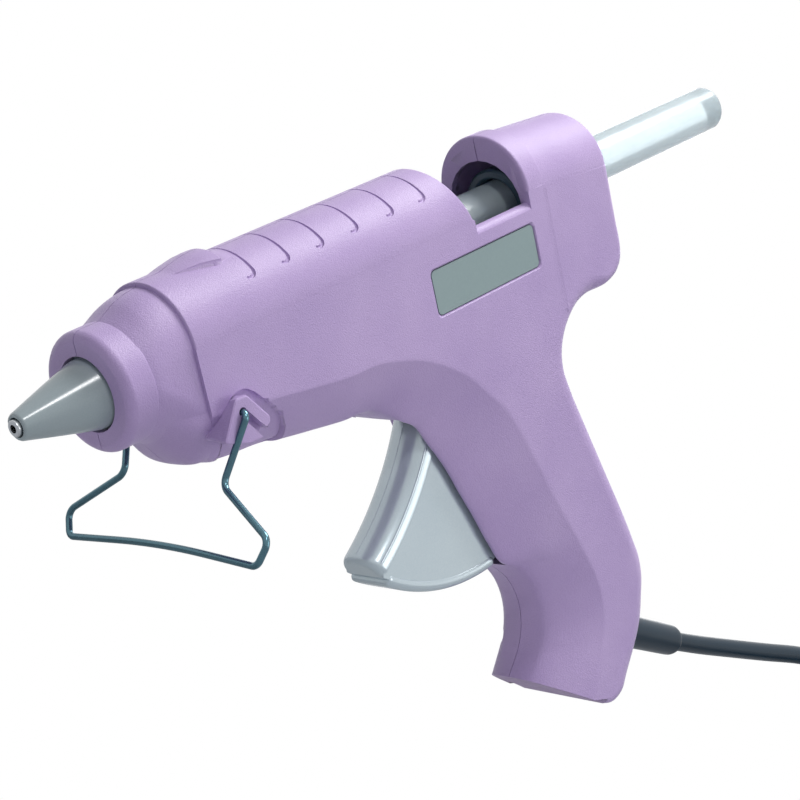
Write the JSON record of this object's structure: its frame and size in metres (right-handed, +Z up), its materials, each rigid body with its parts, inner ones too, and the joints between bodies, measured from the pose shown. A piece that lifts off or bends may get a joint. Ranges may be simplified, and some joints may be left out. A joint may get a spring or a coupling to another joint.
{
  "type": "hot glue gun",
  "caption": "Corded hot glue applicator with clamshell housing, squeeze trigger, feed carriage, glue stick, nozzle and folding wire stand, resting on the stand and the foot of its grip.",
  "frame": {"origin": "on the ground under the middle of the applicator without its free cord, as it stands on its wire stand and the foot of its grip", "axes": "+X level, from the nozzle to the grip's back; +Y to the applicator's own right side; +Z up"},
  "size_m": [0.4349, 0.0851, 0.1712],
  "materials": {
    "housing": "fine satin, pearly lilac",
    "trigger": "satin silver grey",
    "sleeve": "satin grey, heat resistant",
    "steel": "bright",
    "aluminium": "cast",
    "ceramic": "ceramic heater in insulating film",
    "silicone": "matt silicone",
    "carriage": "satin dark blue grey",
    "glue": "translucent hot melt",
    "plate": "plain grey film",
    "cord": "black flexible sheath",
    "live_wire": "brown insulation",
    "neutral_wire": "blue insulation"
  },
  "bodies": {
    "gun_body": {"left_housing": "housing", "right_housing": "housing", "nozzle": "steel", "nozzle_sleeve": "sleeve", "melt_chamber": "aluminium", "ptc_heater": "ceramic", "heater_clip": "steel", "support_ring": "silicone", "inlet_sleeve": "silicone", "sleeve_clamp": "steel", "trigger_pin": "steel", "return_spring": "steel", "name_plate": "plate", "rating_plate": "plate", "housing_screw_1": "steel", "housing_screw_2": "steel", "housing_screw_3": "steel", "housing_screw_4": "steel", "housing_screw_5": "steel", "cord_boot": "cord", "cord_inner_end": "cord", "cord_clamp": "sleeve", "clamp_screw_1": "steel", "clamp_screw_2": "steel", "lead_live": "live_wire", "lead_neutral": "neutral_wire", "cord": "cord", "cord_coil": "cord", "plug_body": "cord", "plug_pin_1": "steel", "plug_pin_2": "steel"},
    "trigger": {"trigger": "trigger"},
    "carriage": {"feed_carriage": "carriage", "drive_pin": "steel", "jaw_pin": "steel"},
    "jaw": {"jaw": "steel"},
    "stick": {"glue_stick": "glue"},
    "stand": {"wire_stand": "steel"}
  },
  "joints": [
    {"name": "trigger_pull", "type": "hinge", "parent": "gun_body", "child": "trigger", "pos_m": [-0.00786, 0, 0.0632], "axis": [0, -1, 0], "range_deg": [0, 28], "stiffness_Nm_per_rad": 0.3, "springref_deg": -20.05},
    {"name": "carriage_slide", "type": "slide", "parent": "gun_body", "child": "carriage", "axis": [-0.7826, 0, -0.6225], "range_m": [0, 0.00876], "deforming": ["return_spring"]},
    {"name": "jaw_tilt", "type": "hinge", "parent": "carriage", "child": "jaw", "pos_m": [0.00193, 0, 0.09348], "axis": [0, -1, 0], "range_deg": [0, 15], "stiffness_Nm_per_rad": 0.002, "springref_deg": -17.19},
    {"name": "stick_slip", "type": "slide", "parent": "carriage", "child": "stick", "axis": [-0.7826, 0, -0.6225], "range_m": [0, 0.032]},
    {"name": "stand_fold", "type": "hinge", "parent": "gun_body", "child": "stand", "pos_m": [-0.07493, 0, 0.0317], "axis": [0, -1, 0], "range_deg": [0, 69.4]}
  ],
  "couplings": [
    {"joint": "carriage_slide", "follows": "trigger_pull", "m_per_rad": 0.017857}
  ]
}
